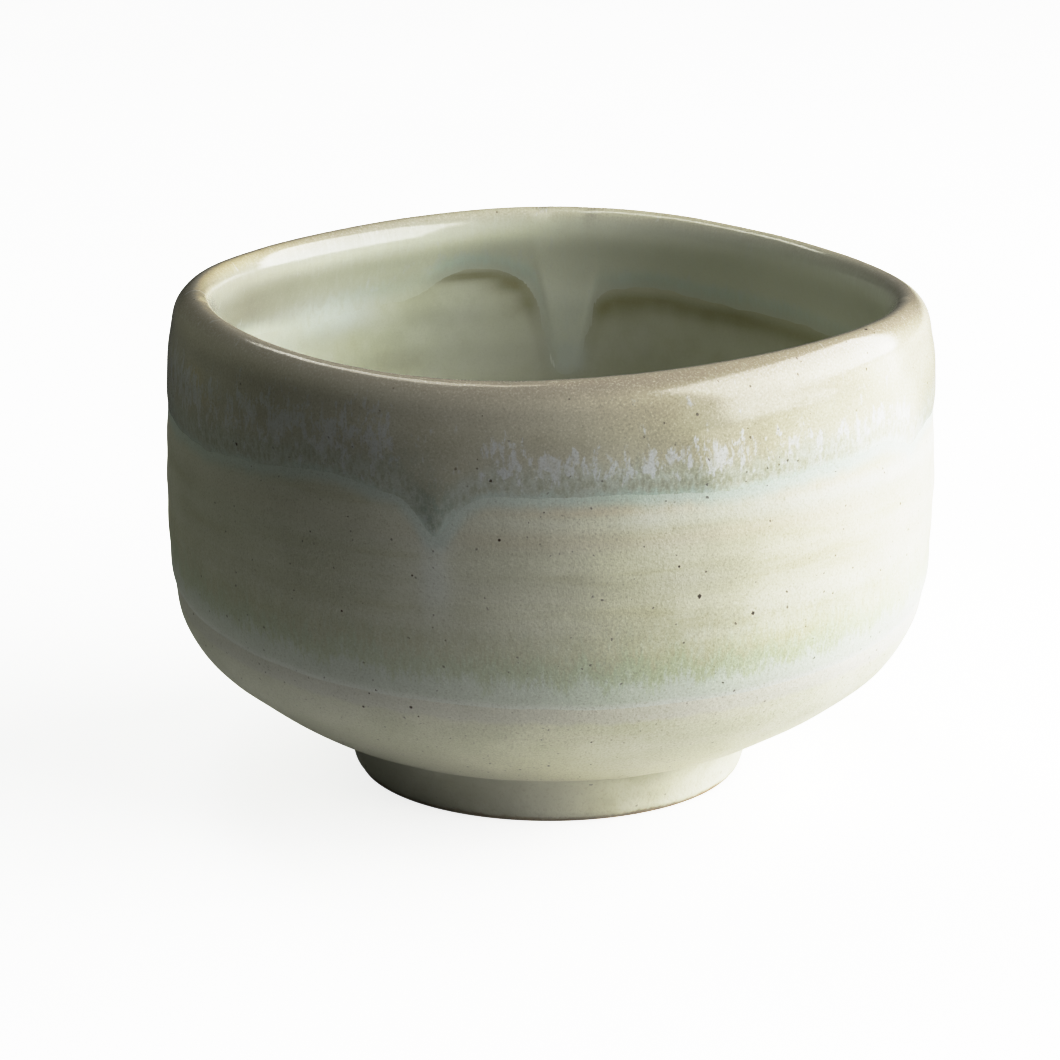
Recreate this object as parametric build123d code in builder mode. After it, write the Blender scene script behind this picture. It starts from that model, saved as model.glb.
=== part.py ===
"""Matcha bowl: a hand-thrown stoneware tea bowl with a trimmed foot ring and layered glaze coats.

Millimetres, +Z up, origin at the centre of the foot on the table plane. Angles run anticlockwise
from +X seen from above, and the front of the bowl faces -Y.
"""

from build123d import *
from math import cos, radians, sin
import os

os.makedirs("parts", exist_ok=True)

# ---- driving dimensions ------------------------------------------------------------------------
BASE_COAT = 0.40          # glaze that was dipped over the whole outside
BELLY_COAT = 0.25         # second outside coat, down to a line low on the belly
RIM_COAT = 0.35           # thick glaze over the lip, run down inside and outside
LINER_COAT = BASE_COAT + BELLY_COAT

FOOT_Z = 8.2              # plane where the foot ring meets the bowl
FOOT_TOP_R = 32.1         # outside of the clay foot ring at that plane
FOOT_BOTTOM_R = 29.9      # outside of the clay foot ring on the table
FOOT_INNER_TOP_R = 25.0
FOOT_INNER_R = 25.8
FOOT_EDGE = 0.7           # softened edges of the standing face
FOOT_BARE_Z = 1.0         # height of the unglazed edge of the foot

# Half section of the clay: up the outside, over the lip, down the inside to the middle of the floor.
CLAY_OUTLINE = (
    (FOOT_TOP_R, FOOT_Z), (37.5, 9.8), (42.5, 12.5), (47.6, 15.9), (52.5, 19.8), (56.3, 24.5),
    (58.3, 31.1), (58.9, 38.4), (59.2, 48.0), (58.9, 59.3), (58.7, 66.0), (58.1, 71.0),
    (56.9, 74.6), (54.9, 75.8), (53.7, 74.0), (54.7, 69.0), (55.8, 61.0), (56.0, 50.0),
    (55.6, 38.0), (54.0, 29.0), (50.1, 21.6), (43.3, 16.6), (34.2, 13.6), (22.1, 12.0), (2.0, 11.4),
)
LIP_R = 54.9

# Middle of the wall, between the inside and the outside skins, from the floor to above the lip.
WALL_MIDDLE = (
    (29.0, 11.2), (38.0, 12.8), (46.0, 17.2), (53.0, 24.0), (56.6, 32.0), (57.5, 45.0),
    (57.2, 60.0), (56.6, 68.0), (LIP_R, 74.5), (LIP_R, 82.0),
)

# The wheel-thrown wall is not quite round. Each swell: lobes, height in mm, angle of one crest.
ROUND_SWELLS = ((2, 0.60, 68.0), (3, 0.53, 100.0), (4, 0.46, 65.0))
RIM_SWELLS = ((1, 0.22, 225.0), (2, 0.34, 150.0), (3, 0.86, 85.0), (4, 0.11, 5.0))
WALL_R = 60.0             # radius at which the round swells have their stated height
RIM_HEIGHT = 77.0         # height at which both kinds of swell reach their full size
RIM_SWELL_Z = 27.0        # height at which the rim swells start
EASE_POWER = 1.5
EASE_TOP = 1.03           # lets the swells grow on past the rim height, over the lip

# Run lines of the rim coat. Drips hang below a line and arches rise above it, as half ellipses:
# angle, width and height in mm.
RIM_RUN_OUTSIDE_Z = 59.4
RIM_RUN_INSIDE_Z = 62.4
OUTSIDE_DRIPS = ((254.5, 9.0, 6.2), (52.0, 6.0, 3.4), (110.0, 8.0, 2.2), (168.0, 6.0, 3.8))
INSIDE_DRIPS = ((87.2, 8.5, 13.5), (355.0, 9.0, 6.0), (268.0, 8.0, 9.0), (196.0, 7.0, 5.0))
INSIDE_ARCHES = ((103.0, 14.0, 5.0),)

# The belly coat was dipped, so its lower edge is one tilted plane: height on the axis, rise of its
# high side at the wall in mm, and the angle of the high side.
BELLY_DIP_Z = 32.2
BELLY_DIP_RISE = 4.6
BELLY_DIP_ANGLE = 100.0

CUT_R = 66.0              # clear of the bowl on the outside
WALL_CUT_R = 57.2         # inside the clay of the upper wall
WALL_CUT_GAP = 0.4        # drip and arch cuts stop this far short of WALL_CUT_R, in the clay
INSIDE_CUT_R = 45.0       # clear of the upper wall on the inside
CUT_TOP_Z = 90.0          # clear of the lip

OUTLINE_RINGS = 40        # one of these rings lies on the crest of the lip
RING_POINTS = 16


def swell(swells, angle):
    """Sum of the cosine swells at an angle in degrees."""
    return sum(height * cos(radians(lobes * (angle - crest))) for lobes, height, crest in swells)


def ease(height, low, high):
    """0 at and below low, 1 at high, rising slowly at first."""
    return max(0.0, min(EASE_TOP, (height - low) / (high - low))) ** EASE_POWER


def hand_thrown(radius, height, angle):
    """Point of the uneven wall for a nominal radius and height."""
    uneven = 1 + ease(height, FOOT_Z, RIM_HEIGHT) * swell(ROUND_SWELLS, angle) / WALL_R
    lift = ease(height, RIM_SWELL_Z, RIM_HEIGHT) * swell(RIM_SWELLS, angle)
    return (
        radius * uneven * cos(radians(angle)),
        radius * uneven * sin(radians(angle)),
        height + lift,
    )


def ring(radius, height):
    """Closed smooth ring of the uneven wall."""
    angles = [360 * i / RING_POINTS for i in range(RING_POINTS)]
    with BuildLine() as line:
        Spline(*(hand_thrown(radius, height, angle) for angle in angles), periodic=True)
    return line.wire()


def bowl_solid(skin):
    """Solid bowl of the clay outline, grown outwards by the thickness of a glaze skin."""
    with BuildLine(Plane.XZ) as section:
        Spline(*CLAY_OUTLINE)
    outline = section.edge()
    rings = []
    for i in range(OUTLINE_RINGS):
        point = outline.position_at(i / (OUTLINE_RINGS - 1))
        along = outline.tangent_at(i / (OUTLINE_RINGS - 1))
        rings.append(ring(point.X + skin * along.Z, point.Z - skin * along.X))
    return Solid.make_loft(rings)


def wall_plane(angle, radius, height):
    """Upright plane across the wall, facing outwards."""
    turn = radians(angle)
    return Plane(
        origin=(radius * cos(turn), radius * sin(turn), height),
        x_dir=(-sin(turn), cos(turn), 0),
        z_dir=(cos(turn), sin(turn), 0),
    )


clay_solid = bowl_solid(0.0)
base_solid = bowl_solid(BASE_COAT)
liner_solid = bowl_solid(LINER_COAT)
rim_solid = bowl_solid(LINER_COAT + RIM_COAT)

# Everything on the inside of the middle of the wall, the mouth included.
wall_rings = [ring(radius, height) for radius, height in WALL_MIDDLE]
hollow_side = Solid.make_loft(wall_rings + [Wire.make_circle(LIP_R, Plane.XY.offset(CUT_TOP_Z))], ruled=True)


# ---- clay --------------------------------------------------------------------------------------
with BuildPart() as clay_body:
    add(clay_solid)

with BuildPart() as foot_ring:
    with BuildSketch(Plane.XZ):
        with BuildLine():
            Polyline(
                (FOOT_INNER_R, 0), (FOOT_BOTTOM_R, 0), (FOOT_TOP_R, FOOT_Z), (FOOT_INNER_TOP_R, FOOT_Z),
                close=True,
            )
        make_face()
    revolve(axis=Axis.Z)
    fillet(foot_ring.edges().group_by(Axis.Z)[0], FOOT_EDGE)


# ---- glaze coats -------------------------------------------------------------------------------
wall_r_at_bare_z = FOOT_BOTTOM_R + (FOOT_TOP_R - FOOT_BOTTOM_R) * FOOT_BARE_Z / FOOT_Z

with BuildPart() as foot_glaze:
    with BuildSketch(Plane.XZ):
        with BuildLine():
            Polyline(
                (wall_r_at_bare_z, FOOT_BARE_Z), (wall_r_at_bare_z + BASE_COAT, FOOT_BARE_Z),
                (FOOT_TOP_R + BASE_COAT, FOOT_Z), (FOOT_TOP_R, FOOT_Z),
                close=True,
            )
        make_face()
    revolve(axis=Axis.Z)

# Room under the bowl for the foot and its coat.
with BuildPart() as foot_zone:
    Cylinder(FOOT_TOP_R + BASE_COAT, FOOT_Z, align=(Align.CENTER, Align.CENTER, Align.MIN))

with BuildPart() as outer_glaze:
    add(base_solid)
    add(clay_solid, mode=Mode.SUBTRACT)
    add(hollow_side, mode=Mode.SUBTRACT)
    add(foot_zone.part, mode=Mode.SUBTRACT)

slope = BELLY_DIP_RISE / WALL_R
dip_normal = (-slope * cos(radians(BELLY_DIP_ANGLE)), -slope * sin(radians(BELLY_DIP_ANGLE)), 1)
belly_dip = Plane(origin=(0, 0, BELLY_DIP_Z), z_dir=dip_normal)

with BuildPart() as belly_glaze:
    add(liner_solid)
    add(base_solid, mode=Mode.SUBTRACT)
    add(hollow_side, mode=Mode.SUBTRACT)
    split(bisect_by=belly_dip, keep=Keep.TOP)

# Space that the rim coat reaches: above its run lines, with the drips and without the arches.
with BuildPart() as rim_zone:
    with Locations((0, 0, RIM_RUN_OUTSIDE_Z)):
        Cylinder(CUT_R, CUT_TOP_Z - RIM_RUN_OUTSIDE_Z, align=(Align.CENTER, Align.CENTER, Align.MIN))
        Cylinder(
            WALL_CUT_R, RIM_RUN_INSIDE_Z - RIM_RUN_OUTSIDE_Z,
            align=(Align.CENTER, Align.CENTER, Align.MIN), mode=Mode.SUBTRACT,
        )
    for angle, width, height in OUTSIDE_DRIPS:
        with BuildSketch(wall_plane(angle, WALL_CUT_R + WALL_CUT_GAP, RIM_RUN_OUTSIDE_Z)):
            Ellipse(width / 2, height)
        extrude(amount=CUT_R - WALL_CUT_R)
    for angle, width, height in INSIDE_DRIPS:
        with BuildSketch(wall_plane(angle, INSIDE_CUT_R, RIM_RUN_INSIDE_Z)):
            Ellipse(width / 2, height)
        extrude(amount=WALL_CUT_R - WALL_CUT_GAP - INSIDE_CUT_R)
    for angle, width, height in INSIDE_ARCHES:
        with BuildSketch(wall_plane(angle, INSIDE_CUT_R, RIM_RUN_INSIDE_Z)):
            Ellipse(width / 2, height)
        extrude(amount=WALL_CUT_R - WALL_CUT_GAP - INSIDE_CUT_R, mode=Mode.SUBTRACT)

with BuildPart() as rim_glaze:
    add(rim_solid)
    add(liner_solid, mode=Mode.SUBTRACT)
    add(rim_zone.part, mode=Mode.INTERSECT)

with BuildPart() as inner_glaze:
    add(liner_solid)
    add(clay_solid, mode=Mode.SUBTRACT)
    add(hollow_side, mode=Mode.INTERSECT)


# ---- one file for each piece -------------------------------------------------------------------
clay_body.part.label = "clay_body"
foot_ring.part.label = "foot_ring"
foot_glaze.part.label = "foot_glaze"
outer_glaze.part.label = "outer_glaze"
belly_glaze.part.label = "belly_glaze"
rim_glaze.part.label = "rim_glaze"
inner_glaze.part.label = "inner_glaze"

for piece in (clay_body, foot_ring, foot_glaze, outer_glaze, belly_glaze, rim_glaze, inner_glaze):
    export_step(piece.part, f"parts/{piece.part.label}.step")
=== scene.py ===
"""Matcha bowl: the glazed, hand-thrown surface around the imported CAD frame.

Lengths are metres in Blender. The bowl is drawn in millimetres and scaled at the end, because the
glaze features are small. Angles run anticlockwise from +X seen from above; the front faces -Y.
"""
import bmesh
import bpy
import numpy as np
from math import pi, radians
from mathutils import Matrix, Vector


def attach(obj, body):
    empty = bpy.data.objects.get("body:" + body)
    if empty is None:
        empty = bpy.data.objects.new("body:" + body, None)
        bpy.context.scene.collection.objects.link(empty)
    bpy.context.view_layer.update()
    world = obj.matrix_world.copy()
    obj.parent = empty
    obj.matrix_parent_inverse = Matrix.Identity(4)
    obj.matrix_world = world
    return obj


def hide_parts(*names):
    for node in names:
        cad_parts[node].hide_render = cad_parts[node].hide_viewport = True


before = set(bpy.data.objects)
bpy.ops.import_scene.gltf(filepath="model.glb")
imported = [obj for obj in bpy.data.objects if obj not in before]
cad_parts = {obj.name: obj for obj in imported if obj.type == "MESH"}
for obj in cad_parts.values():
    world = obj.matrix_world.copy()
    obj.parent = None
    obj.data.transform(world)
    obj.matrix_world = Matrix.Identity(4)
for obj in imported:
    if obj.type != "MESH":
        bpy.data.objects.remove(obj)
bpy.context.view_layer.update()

MM = 0.001                # one millimetre in Blender's metres

# ---- section of the bowl, millimetres ------------------------------------------------------------
FOOT_Z = 8.2
FOOT_TOP_R = 32.1
FOOT_BOTTOM_R = 29.9
FOOT_INNER_TOP_R = 25.0
FOOT_INNER_R = 25.8
FOOT_EDGE = 0.7           # softened edges of the standing face
FOOT_FLARE = 2.8          # how far the coat of the foot spreads where it meets the belly
FOOT_FLARE_HEIGHT = 0.9   # height over which that fillet fades
FOOT_COAT_START = 0.55    # height of the bare edge under the coat of the foot
FOOT_COAT_OVERLAP = 0.55  # how far that coat reaches up into the base coat

BASE_COAT = 0.40          # dipped over the whole outside
BELLY_COAT = 0.25         # second outside coat, down to a line low on the belly
RIM_COAT = 0.35           # over the lip, run down inside and outside
LINER_COAT = BASE_COAT + BELLY_COAT

# Half section of the clay, as in the CAD: up the outside, over the lip, down to the middle of the floor.
CLAY_OUTLINE = (
    (FOOT_TOP_R, FOOT_Z), (37.5, 9.8), (42.5, 12.5), (47.6, 15.9), (52.5, 19.8), (56.3, 24.5),
    (58.3, 31.1), (58.9, 38.4), (59.2, 48.0), (58.9, 59.3), (58.7, 66.0), (58.1, 71.0),
    (56.9, 74.6), (54.9, 75.8), (53.7, 74.0), (54.7, 69.0), (55.8, 61.0), (56.0, 50.0),
    (55.6, 38.0), (54.0, 29.0), (50.1, 21.6), (43.3, 16.6), (34.2, 13.6), (22.1, 12.0), (2.0, 11.4),
)
SECTION_SAMPLES = 4000

# The wall is not quite round. Each swell: lobes, height in mm, angle of one crest.
ROUND_SWELLS = ((2, 0.60, 68.0), (3, 0.53, 100.0), (4, 0.46, 65.0))
RIM_SWELLS = ((1, 0.22, 225.0), (2, 0.34, 150.0), (3, 0.86, 85.0), (4, 0.11, 5.0))
WALL_R = 60.0             # radius at which the round swells have their stated height
RIM_HEIGHT = 77.0         # height at which both kinds of swell reach their full size
RIM_SWELL_Z = 27.0        # height at which the rim swells start
EASE_POWER = 1.5
EASE_TOP = 1.03           # lets the swells grow on past the rim height, over the lip

# Run lines of the rim coat: level, ripple in mm, seed of the ripple, then the bumps of the line:
# angle, half width in degrees, rise in mm, sharpness.
RIM_RUN_OUTSIDE = (59.7, 0.22, 3, (
    (238, 13, 1.3, 2), (207, 12, -0.9, 2), (247, 5, -1.2, 2), (254.4, 3.5, -6.3, 1.8),
    (297, 9, -1.0, 2), (325, 7, 1.1, 2), (335, 4, -1.7, 1.6), (20, 12, 0.8, 2),
    (52, 3.4, -3.4, 1.6), (75, 14, 0.7, 2), (110, 4.5, -2.0, 1.8), (140, 15, 0.9, 2),
    (168, 3.2, -3.8, 1.5),
))
RIM_RUN_INSIDE = (62.0, 0.25, 5, (
    (103, 8.5, 5.0, 2.6), (87.2, 4.6, -14.0, 3.2), (73, 9, 1.6, 2), (137, 9, -1.4, 2),
    (33, 14, -0.9, 2), (355, 5, -6.0, 2.4), (300, 11, 3.0, 2), (268, 4.5, -9.0, 2.8),
    (228, 12, 2.4, 2), (196, 4.0, -5.0, 2.4),
))

# The belly coat was dipped at a slant: height on the axis, rise of its high side, angle of that side.
BELLY_DIP_Z = 32.2
BELLY_DIP_RISE = 4.6
BELLY_DIP_ANGLE = 100.0
BELLY_DIP_RIPPLE = 0.12

# Hand-made unevenness of the wall, in mm. Each set of lumps: depth, cells round the bowl, length of
# a cell along the section, seed. The relief grows from nothing to full between two radii.
RING_DEPTH = 0.05
LUMPS = ((0.07, 26, 11.0, 31), (0.035, 60, 5.0, 32))
RELIEF_RADII = (6, 30)

COLUMNS = 720             # points in each ring of a mesh
ANGLES = np.arange(COLUMNS) * 360 / COLUMNS
NOISE_ROWS = 400          # length of the noise table along the section
NOISE_MARGIN = 7          # rows kept free before the start of the section


# ---- surface functions ---------------------------------------------------------------------------
def natural_spline(points, samples):
    """Natural cubic spline through the points, sampled at even steps of the chord length."""
    knots = np.array(points, float)
    steps = np.hypot(*np.diff(knots, axis=0).T)
    along = np.concatenate([[0], np.cumsum(steps)])
    count = len(knots)
    system = np.zeros((count, count))
    system[0, 0] = system[-1, -1] = 1
    right = np.zeros((count, 2))
    for i in range(1, count - 1):
        system[i, i - 1:i + 2] = steps[i - 1], 2 * (steps[i - 1] + steps[i]), steps[i]
        right[i] = 6 * ((knots[i + 1] - knots[i]) / steps[i] - (knots[i] - knots[i - 1]) / steps[i - 1])
    bend = np.linalg.solve(system, right)
    t = np.linspace(0, along[-1], samples)
    i = np.clip(np.searchsorted(along, t, side="right") - 1, 0, count - 2)
    h = steps[i][:, None]
    before = (along[i + 1] - t)[:, None]
    after = (t - along[i])[:, None]
    return (
        (bend[i] * before ** 3 + bend[i + 1] * after ** 3) / (6 * h)
        + (knots[i] / h - bend[i] * h / 6) * before
        + (knots[i + 1] / h - bend[i + 1] * h / 6) * after
    )


# The section: its points, the distance along it, its direction, and where the crest of the lip is.
curve = natural_spline(CLAY_OUTLINE, SECTION_SAMPLES)
distance = np.concatenate([[0], np.cumsum(np.hypot(*np.diff(curve, axis=0).T))])
tangent = np.gradient(curve, distance, axis=0)
tangent /= np.linalg.norm(tangent, axis=1)[:, None]
LENGTH = distance[-1]
LIP = distance[np.argmax(curve[:, 1])]
OUTSIDE = distance <= LIP


def wrap(angle):
    """Angle difference in the range -180 to 180."""
    return (angle + 180) % 360 - 180


def swell(swells, angle):
    """Sum of the cosine swells at an angle in degrees."""
    return sum(height * np.cos(np.radians(lobes * (angle - crest))) for lobes, height, crest in swells)


def ease(height, low, high):
    """0 at and below low, 1 at high, rising slowly at first."""
    return np.clip((height - low) / (high - low), 0, EASE_TOP) ** EASE_POWER


def smooth(x, low, high):
    """Smooth step from 0 at low to 1 at high."""
    t = np.clip((x - low) / (high - low), 0, 1)
    return t * t * (3 - 2 * t)


def bump(angle, centre, width, sharpness):
    """Hump of height 1 round an angle; a higher sharpness gives it a flatter top and steeper sides."""
    return np.exp(-np.abs(wrap(angle - centre) / width) ** sharpness)


def lattice_noise(angle, along, around_count, along_step, seed):
    """Smooth noise, seamless round the bowl: cells across the circle, and along the section."""
    table = np.random.default_rng(seed).uniform(-1, 1, (around_count, NOISE_ROWS))
    x = (angle % 360) / 360 * around_count
    y = along / along_step + NOISE_MARGIN
    i, j = np.floor(x).astype(int), np.floor(y).astype(int)
    fx, fy = x - i, y - j
    fx, fy = fx * fx * (3 - 2 * fx), fy * fy * (3 - 2 * fy)
    i0, i1 = i % around_count, (i + 1) % around_count
    j0, j1 = j % NOISE_ROWS, (j + 1) % NOISE_ROWS
    low = table[i0, j0] * (1 - fx) + table[i1, j0] * fx
    high = table[i0, j1] * (1 - fx) + table[i1, j1] * fx
    return low * (1 - fy) + high * fy


def round_noise(cells, seed):
    """Smooth noise for each column, with this many cells round the bowl."""
    return lattice_noise(ANGLES, 0 * ANGLES, cells, 1, seed)


def run_height(level, ripple, seed, bumps):
    """Height of a run line at each column, with its drips and a fine ripple."""
    height = level + np.zeros_like(ANGLES)
    for centre, width, rise, sharpness in bumps:
        height += rise * bump(ANGLES, centre, width, sharpness)
    height += ripple * round_noise(90, seed)
    height += 0.5 * ripple * round_noise(220, seed + 1)
    return height


def lift(height, angle):
    """How much the wavy lip raises a point of this nominal height."""
    return ease(height, RIM_SWELL_Z, RIM_HEIGHT) * swell(RIM_SWELLS, angle)


def outside_at(height, angle):
    """Distance along the section at which the outside wall has this real height."""
    nominal = height - lift(height, angle)
    return np.interp(nominal, curve[OUTSIDE, 1], distance[OUTSIDE])


def inside_at(height, angle):
    """Distance along the section at which the inside wall has this real height."""
    nominal = height - lift(height, angle)
    return np.interp(-nominal, -curve[~OUTSIDE, 1], distance[~OUTSIDE])


def dip_height():
    """Height of the lower edge of the belly coat at each column."""
    height = BELLY_DIP_Z + BELLY_DIP_RISE * np.cos(np.radians(ANGLES - BELLY_DIP_ANGLE))
    return height + BELLY_DIP_RIPPLE * round_noise(60, seed=9)


def relief(angle, along):
    """Thickness added by throwing rings and soft lumps, in mm; it fades out towards the axis."""
    x, z = np.interp(along, distance, curve[:, 0]), np.interp(along, distance, curve[:, 1])
    turn = np.radians(angle)
    close_rings = np.sin(z * 0.93 + 0.5 * np.sin(turn) + 1.0)
    wide_rings = np.sin(z * 0.41 + turn + 0.6)
    thickness = RING_DEPTH * (close_rings + wide_rings)
    for depth, cells, length, seed in LUMPS:
        thickness = thickness + depth * lattice_noise(angle, along, cells, length, seed)
    return thickness * smooth(x, *RELIEF_RADII)


def wall_points(along, skin, angle):
    """Points of the uneven wall, skin mm outside the clay; along and skin are rows by columns."""
    x, z = np.interp(along, distance, curve[:, 0]), np.interp(along, distance, curve[:, 1])
    tx, tz = np.interp(along, distance, tangent[:, 0]), np.interp(along, distance, tangent[:, 1])
    radius, height = x + skin * tz, z - skin * tx
    uneven = 1 + ease(height, FOOT_Z, RIM_HEIGHT) * swell(ROUND_SWELLS, angle) / WALL_R
    radius = radius * uneven
    height = height + lift(height, angle)
    turn = np.radians(angle)
    return np.stack([radius * np.cos(turn), radius * np.sin(turn), height], -1)


# ---- mesh making ---------------------------------------------------------------------------------
def ring_mesh(name, points, marks, closed):
    """Mesh from rows of closed rings. closed joins the last row to the first; otherwise the first
    and last rows are filled by a fan to their centres."""
    rows, columns = points.shape[:2]
    verts = points.reshape(-1, 3) * MM
    j, i = np.meshgrid(np.arange(rows if closed else rows - 1), np.arange(columns), indexing="ij")
    k, n = (j + 1) % rows, (i + 1) % columns
    quads = np.stack([j * columns + i, j * columns + n, k * columns + n, k * columns + i], -1)
    faces = quads.reshape(-1, 4).tolist()
    if not closed:
        first, last = len(verts), len(verts) + 1
        centres = np.stack([points[0].mean(0), points[-1].mean(0)]) * MM
        verts = np.concatenate([verts, centres])
        base = (rows - 1) * columns
        faces += [[first, (c + 1) % columns, c] for c in range(columns)]
        faces += [[last, base + c, base + (c + 1) % columns] for c in range(columns)]
    mesh = bpy.data.meshes.new(name)
    mesh.from_pydata(verts.tolist(), [], faces)
    mesh.polygons.foreach_set("use_smooth", np.ones(len(mesh.polygons), bool))
    for mark, values in marks.items():
        flat = np.broadcast_to(values, (rows, columns)).reshape(-1)
        if not closed:
            flat = np.concatenate([flat, [values[0].mean(), values[-1].mean()]])
        mesh.attributes.new(mark, "FLOAT", "POINT").data.foreach_set("value", flat.astype(np.float32))
    mesh.update()
    piece = bpy.data.objects.new(name, mesh)
    bpy.context.scene.collection.objects.link(piece)
    return piece


def finish_piece(piece, node, material):
    """Turns the faces outwards, gives the piece its material, hangs it on the root body and hides the CAD
    part that it stands for.
    """
    shape = bmesh.new()
    shape.from_mesh(piece.data)
    bmesh.ops.recalc_face_normals(shape, faces=shape.faces)
    shape.to_mesh(piece.data)
    shape.free()
    piece.data.materials.append(material)
    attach(piece, "root")
    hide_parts(node)


def rounded(corners, reach, steps=6, longest=0.4):
    """Closed outline with its corners rounded off, and its long runs divided."""
    outline = []
    for before, corner, after in zip(np.roll(corners, 1, 0), corners, np.roll(corners, -1, 0)):
        start = corner + (before - corner) / np.linalg.norm(before - corner) * reach
        stop = corner + (after - corner) / np.linalg.norm(after - corner) * reach
        t = np.linspace(0, 1, steps)[:, None]
        outline += list((1 - t) ** 2 * start + 2 * t * (1 - t) * corner + t * t * stop)
    closed = np.array(outline + outline[:1])
    along = np.concatenate([[0], np.cumsum(np.hypot(*np.diff(closed, axis=0).T))])
    even = np.union1d(along[:-1], np.arange(0, along[-1] - longest / 2, longest))
    return np.stack([np.interp(even, along, closed[:, 0]), np.interp(even, along, closed[:, 1])], -1)


SQUARE_REACH = 5.0        # mm from a run line within which its slope counts
PATCH_POWER = 2.4         # above 2, so that painted patches have fairly even middles


def square_gap(gap, run):
    """Turns the distance down the wall from a run line into the distance square to the line."""
    slope = (np.roll(run, -1) - np.roll(run, 1)) / (4 * pi * WALL_R / COLUMNS)
    return gap / np.sqrt(1 + np.exp(-(gap / SQUARE_REACH) ** 2) * slope ** 2)


def painted(patches, level):
    """Sum of soft patches at each column and level, from 0 to 1."""
    total = np.zeros(np.broadcast(ANGLES, level).shape)
    for centre, middle, width, height, amount in patches:
        across = np.abs(wrap(ANGLES - centre) / width) ** PATCH_POWER
        total += amount * np.exp(-across - np.abs((level - middle) / height) ** PATCH_POWER)
    return np.clip(total, 0, 1)


# ---- painting: where the glazes pooled, broke or flushed, and painted light and shade inside ------
# Each patch: angle, height, half width in degrees, half height in mm, amount.
# Clusters of bluish white streaks in the rim coat; their heights are above its run line.
PALE_OUTSIDE = (
    (190, 7.5, 12, 4.0, 0.8), (204, 8.5, 7, 4.2, 0.9), (216, 8.0, 7, 4.5, 0.8), (229, 7.0, 7, 5.0, 0.9),
    (240, 6.5, 5, 4.5, 0.95), (247, 8.5, 3.4, 4.4, 1.0), (253, 9.5, 3.0, 2.6, 0.5),
    (263, 5.5, 4, 3.2, 0.7),
    (272, 5.0, 7, 2.6, 1.0), (284, 4.8, 7, 2.5, 0.9), (295, 6.0, 5, 3.2, 0.8), (305, 5.0, 7, 2.6, 0.6),
    (318, 4.6, 8, 1.9, 0.8), (330, 4.6, 6, 1.6, 1.0), (338, 1.2, 3.5, 1.6, 1.0), (352, 4.4, 9, 2.2, 0.8),
    (12, 6.0, 9, 3.2, 0.9), (32, 5.0, 8, 2.6, 0.8), (50, 7.5, 6, 4.0, 0.9), (68, 5.4, 9, 2.8, 0.8),
    (90, 6.2, 9, 3.4, 0.9), (110, 7.0, 7, 3.8, 0.9), (130, 5.4, 9, 2.8, 0.8), (150, 5.6, 8, 3.0, 0.8),
    (168, 8.0, 7, 4.2, 0.9),
)
# Pale blue pools along the run line of the inside and at the foot of its drips.
PALE_INSIDE = (
    (104, 68.8, 9, 2.0, 1.0), (95, 66.2, 3.5, 2.6, 0.8), (92, 62.5, 2.5, 3.5, 0.35),
    (124, 66.0, 9, 2.4, 0.5), (74, 65.4, 8, 2.2, 1.0), (60, 64.4, 9, 2.2, 1.0),
    (44, 63.6, 9, 2.2, 0.9), (25, 62.6, 9, 2.2, 0.8), (355, 58.0, 4, 4.0, 0.8), (330, 64.0, 12, 2.4, 0.7),
    (300, 66.0, 12, 2.4, 0.7), (268, 55.5, 4, 5.0, 0.8), (240, 64.0, 12, 2.4, 0.7), (196, 59.5, 4, 4.0, 0.8),
    (165, 63.0, 12, 2.4, 0.7),
)
# Milky hazes of the inside, over the left wall and down the middle of the drips; the broad patch at 110
# degrees is painted light on the back wall.
MILK_AND_PAINTED_LIGHT_INSIDE = (
    (131, 62.5, 9, 3.8, 0.95), (148, 61.5, 9, 4.0, 0.4), (140, 55.0, 16, 5.0, 0.3),
    (110, 58.0, 17, 12.0, 0.30), (86.5, 51.5, 3.0, 2.6, 1.0), (87.5, 57.5, 3.6, 7.0, 0.45),
    (268, 57.0, 4, 5.0, 0.7),
)
# Whitish bands under the run line of the outside, and the pale trail under its long drip.
WHITE_OUTSIDE = (
    (292, 56.4, 34, 1.5, 0.5), (345, 55.8, 26, 1.6, 0.6), (30, 56.0, 30, 1.4, 0.5),
    (120, 55.5, 50, 1.5, 0.5),
    (254.2, 47.5, 2.4, 6.5, 1.0), (254.2, 53.0, 3.2, 2.0, 0.5), (205, 57.0, 22, 1.0, 0.25),
)
# Painted shade: the left wall of the inside, which faces the window light, made darker and duller.
PAINTED_SHADE_INSIDE = ((172, 70.0, 34, 10.0, 0.8), (158, 57.0, 22, 12.0, 0.8))
# Warm flushes of the outside: two small marks on the rim coat, the others on the belly coat.
WARM_OUTSIDE = (
    (207.5, 69.5, 3.0, 1.6, 0.9), (212.0, 67.0, 3.0, 1.0, 0.5),
    (278, 58.2, 18, 1.2, 0.9), (312, 57.8, 14, 1.0, 0.7), (262, 53.6, 16, 1.6, 0.4),
    (300, 53.2, 26, 1.2, 0.4), (225, 55.5, 22, 2.0, 0.3), (20, 57.6, 30, 1.2, 0.6),
    (130, 57.4, 50, 1.3, 0.6), (325, 50.0, 24, 7.0, 0.4),
)
# Darker, greener glaze: in the tip of the long drip, and in bands and patches on the belly.
OLIVE_OUTSIDE = (
    (254.4, 57.6, 3.2, 4.2, 1.0), (250, 64.5, 5.0, 2.0, 0.4),
    (236, 39.0, 26, 1.2, 0.9), (270, 38.2, 20, 2.4, 0.5), (205, 39.6, 14, 1.2, 0.5),
    (222, 51.0, 16, 4.0, 0.4),
    (232, 44.0, 16, 4.0, 0.35), (60, 38.5, 60, 1.6, 0.5), (150, 38.8, 40, 1.5, 0.5),
)
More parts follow.
